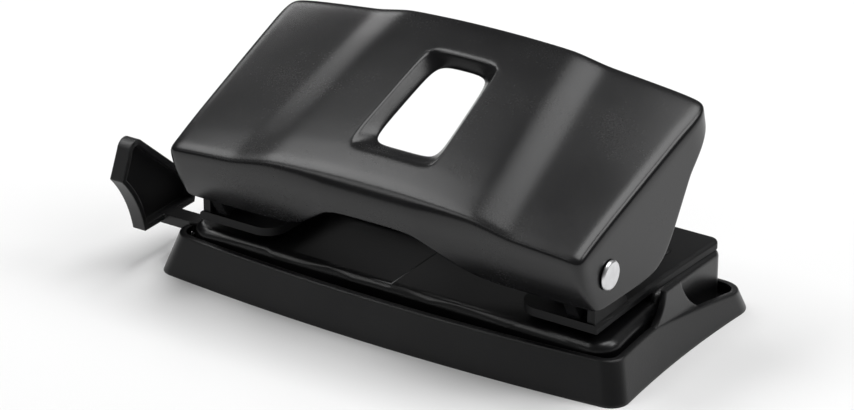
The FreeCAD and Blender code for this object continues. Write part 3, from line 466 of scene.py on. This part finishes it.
same_place = 0.002              # points closer than this are one
flat_angle = math.radians(0.5)
edge_angle = math.radians(35)


def soften(name, width, material, segments=2):
    """Break the sharp edges of a piece by a small rounding and give it its finish."""
    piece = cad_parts[name]
    mesh = piece.data
    if "custom_normal" in mesh.attributes:
        mesh.attributes.remove(mesh.attributes["custom_normal"])
    mesh.materials.clear()
    mesh.materials.append(material)
    mesh.shade_smooth()
    join = piece.modifiers.new("join", "WELD")
    join.merge_threshold = same_place * mm
    if width:
        flat = piece.modifiers.new("flat", "DECIMATE")
        flat.decimate_type = "DISSOLVE"
        flat.angle_limit = flat_angle
        edge = piece.modifiers.new("edge", "BEVEL")
        edge.width = width * mm
        edge.segments = segments
        edge.limit_method = "ANGLE"
        edge.angle_limit = edge_angle
        edge.use_clamp_overlap = True
        edge.loop_slide = True
    even = piece.modifiers.new("even", "WEIGHTED_NORMAL")
    even.keep_sharp = True


tray_plastic = moulded_plastic("tray_plastic", (0.005, 0.005, 0.0055), (0.0075, 0.0075, 0.008),
                               0.34, 0.03, gloss=0.45, edge=0.8)
soften("chip_tray", 0.35, tray_plastic, 3)

# ---- base plate ------------------------------------------------------------------------------
# Pan pressed from 1.2 mm steel sheet, open below: the paper table in front with its rolled
# edge, the raised shelf behind it. Stove enamelled black, smooth with a slight orange peel.


def painted_steel(name, roughness, gloss):
    """Black enamel on sheet steel."""
    finish = Finish(name)
    cloud_size, peel_size, peel_depth = 14, 0.9, 0.012
    clouds = finish.noise(cloud_size, 3)
    orange_peel = finish.noise(peel_size, 1)
    colour = finish.tint(clouds, (0.004, 0.004, 0.0045), (0.006, 0.006, 0.0065))
    return finish.surface(Base_Color=colour, Roughness=roughness + 0.08 * (clouds - 0.5),
                          Normal=finish.bump(orange_peel, peel_depth), Specular_IOR_Level=gloss)


soften("base_plate", 0, painted_steel("enamel", 0.32, 0.5))

# ---- punch frame and what is riveted to it ---------------------------------------------------
# Thicker pressed plate above the paper slot, with a lobe round each punch and an ear at each
# end for the lever's pivot. Four rivets hold it to the shelf. All of it is painted dull black.

dull_black = painted_steel("dull_black", 0.5, 0.25)
soften("punch_frame", 0.15, dull_black)
for where in ("left_outer", "left_inner", "right_outer", "right_inner"):
    soften("frame_rivet_" + where, 0.15, dull_black)

# ---- paper guide and its bracket -------------------------------------------------------------
# Black plastic ruler that slides out to the left under the table, with a dished end stop for
# the sheet's edge. A bent strap under the table carries it.

guide_plastic = moulded_plastic("guide_plastic", (0.008, 0.008, 0.0085), (0.011, 0.011, 0.0115),
                                0.42, 0.02, edge=0.5)
soften("paper_guide", 0.25, guide_plastic, 3)
soften("ruler_bracket", 0.1, dull_black)

# ---- punches, their guides and springs -------------------------------------------------------
# A turned steel pin in a turned bush on each side. A coil spring of bare wire lifts the pin by
# a washer under a ring that is snapped into the pin's groove.


def bare_steel(name, tone, roughness):
    """Steel without paint, with fine lines round the piece from turning or drawing."""
    finish = Finish(name)
    cloud_size, line_size, line_depth = 2.5, 0.25, 0.004
    clouds = finish.noise(cloud_size, 3)
    lines = finish.noise(line_size, 1, scale=(0.4, 0.4, 4))
    colour = finish.tint(clouds, tuple(0.9 * part for part in tone), tone)
    return finish.surface(Base_Color=colour, Metallic=1.0,
                          Roughness=roughness + 0.12 * (clouds - 0.5),
                          Normal=finish.bump(lines, line_depth))


turned_steel = bare_steel("turned_steel", (0.56, 0.56, 0.57), 0.32)
spring_wire = bare_steel("spring_wire", (0.42, 0.42, 0.43), 0.28)
for side in ("left", "right"):
    soften("punch_guide_" + side, 0.12, turned_steel)
    soften("punch_pin_" + side, 0.1, turned_steel)
    soften("spring_washer_" + side, 0.12, turned_steel)
    soften("retaining_ring_" + side, 0.08, spring_wire)
    soften("return_spring_" + side, 0, spring_wire)

# ---- pivot rivets ----------------------------------------------------------------------------
# A nickel-plated rivet through each cheek and ear is the lever's hinge, with a thin washer
# between the two. Its domed head is the one bright spot on the outside.

rivet_plate = bare_steel("rivet_plate", (0.78, 0.78, 0.79), 0.34)
for side in ("left", "right"):
    soften("pivot_rivet_" + side, 0.18, rivet_plate, 3)
    soften("pivot_washer_" + side, 0.08, turned_steel)

# ---- room ------------------------------------------------------------------------------------
# A sheet of white paper under the punch, a dim white room round it, and five soft boxes: two
# above for the light on the lever's top, three lower down for its edges and walls.

floor_half = 6.0
floor_bm = bmesh.new()
bmesh.ops.create_grid(floor_bm, x_segments=1, y_segments=1, size=floor_half)
floor_mesh = bpy.data.meshes.new("floor")
floor_bm.to_mesh(floor_mesh)
floor_bm.free()
floor = bpy.data.objects.new("floor", floor_mesh)
bpy.context.scene.collection.objects.link(floor)
paper = Finish("floor_paper")
floor_mesh.materials.append(paper.surface(Base_Color=(0.86, 0.86, 0.86, 1), Roughness=0.9,
                                          Specular_IOR_Level=0.1))

world = bpy.data.worlds.new("room")
bpy.context.scene.world = world
world.use_nodes = True
background = world.node_tree.nodes["Background"]
background.inputs["Color"].default_value = (1, 1, 1, 1)
background.inputs["Strength"].default_value = 0.12
bpy.context.scene.view_settings.view_transform = "Standard"


def soft_box(name, direction, distance, width, height, brightness, level=False):
    """Diffused lamp that faces the punch or, with level, hangs flat above the floor. It has the
    same brightness at any width and height."""
    lamp = bpy.data.objects.new(name, bpy.data.lights.new(name, "AREA"))
    bpy.context.scene.collection.objects.link(lamp)
    lamp.data.shape = "RECTANGLE"
    lamp.data.size = width
    lamp.data.size_y = height
    lamp.data.energy = brightness * math.pi * width * height
    way = Vector(direction).normalized()
    lamp.location = way * distance
    if not level:
        lamp.rotation_mode = "QUATERNION"
        lamp.rotation_quaternion = way.to_track_quat("Z", "Y")


soft_box("lamp_above", (0.16, 0.3, 1.2), 1.25, 0.76, 0.9, 4.9, level=True)
soft_box("lamp_left", (-0.84, -0.2, 1.2), 1.48, 0.6, 0.92, 5.2, level=True)
soft_box("lamp_front", (-0.5, -0.66, 0.64), 1.2, 0.3, 0.3, 3)
soft_box("lamp_behind", (-0.731, 0.479, 0.485), 1.2, 0.25, 0.2, 4.4)
soft_box("lamp_right", (0.62, 0.345, 0.7), 1.3, 0.5, 0.5, 5.5)
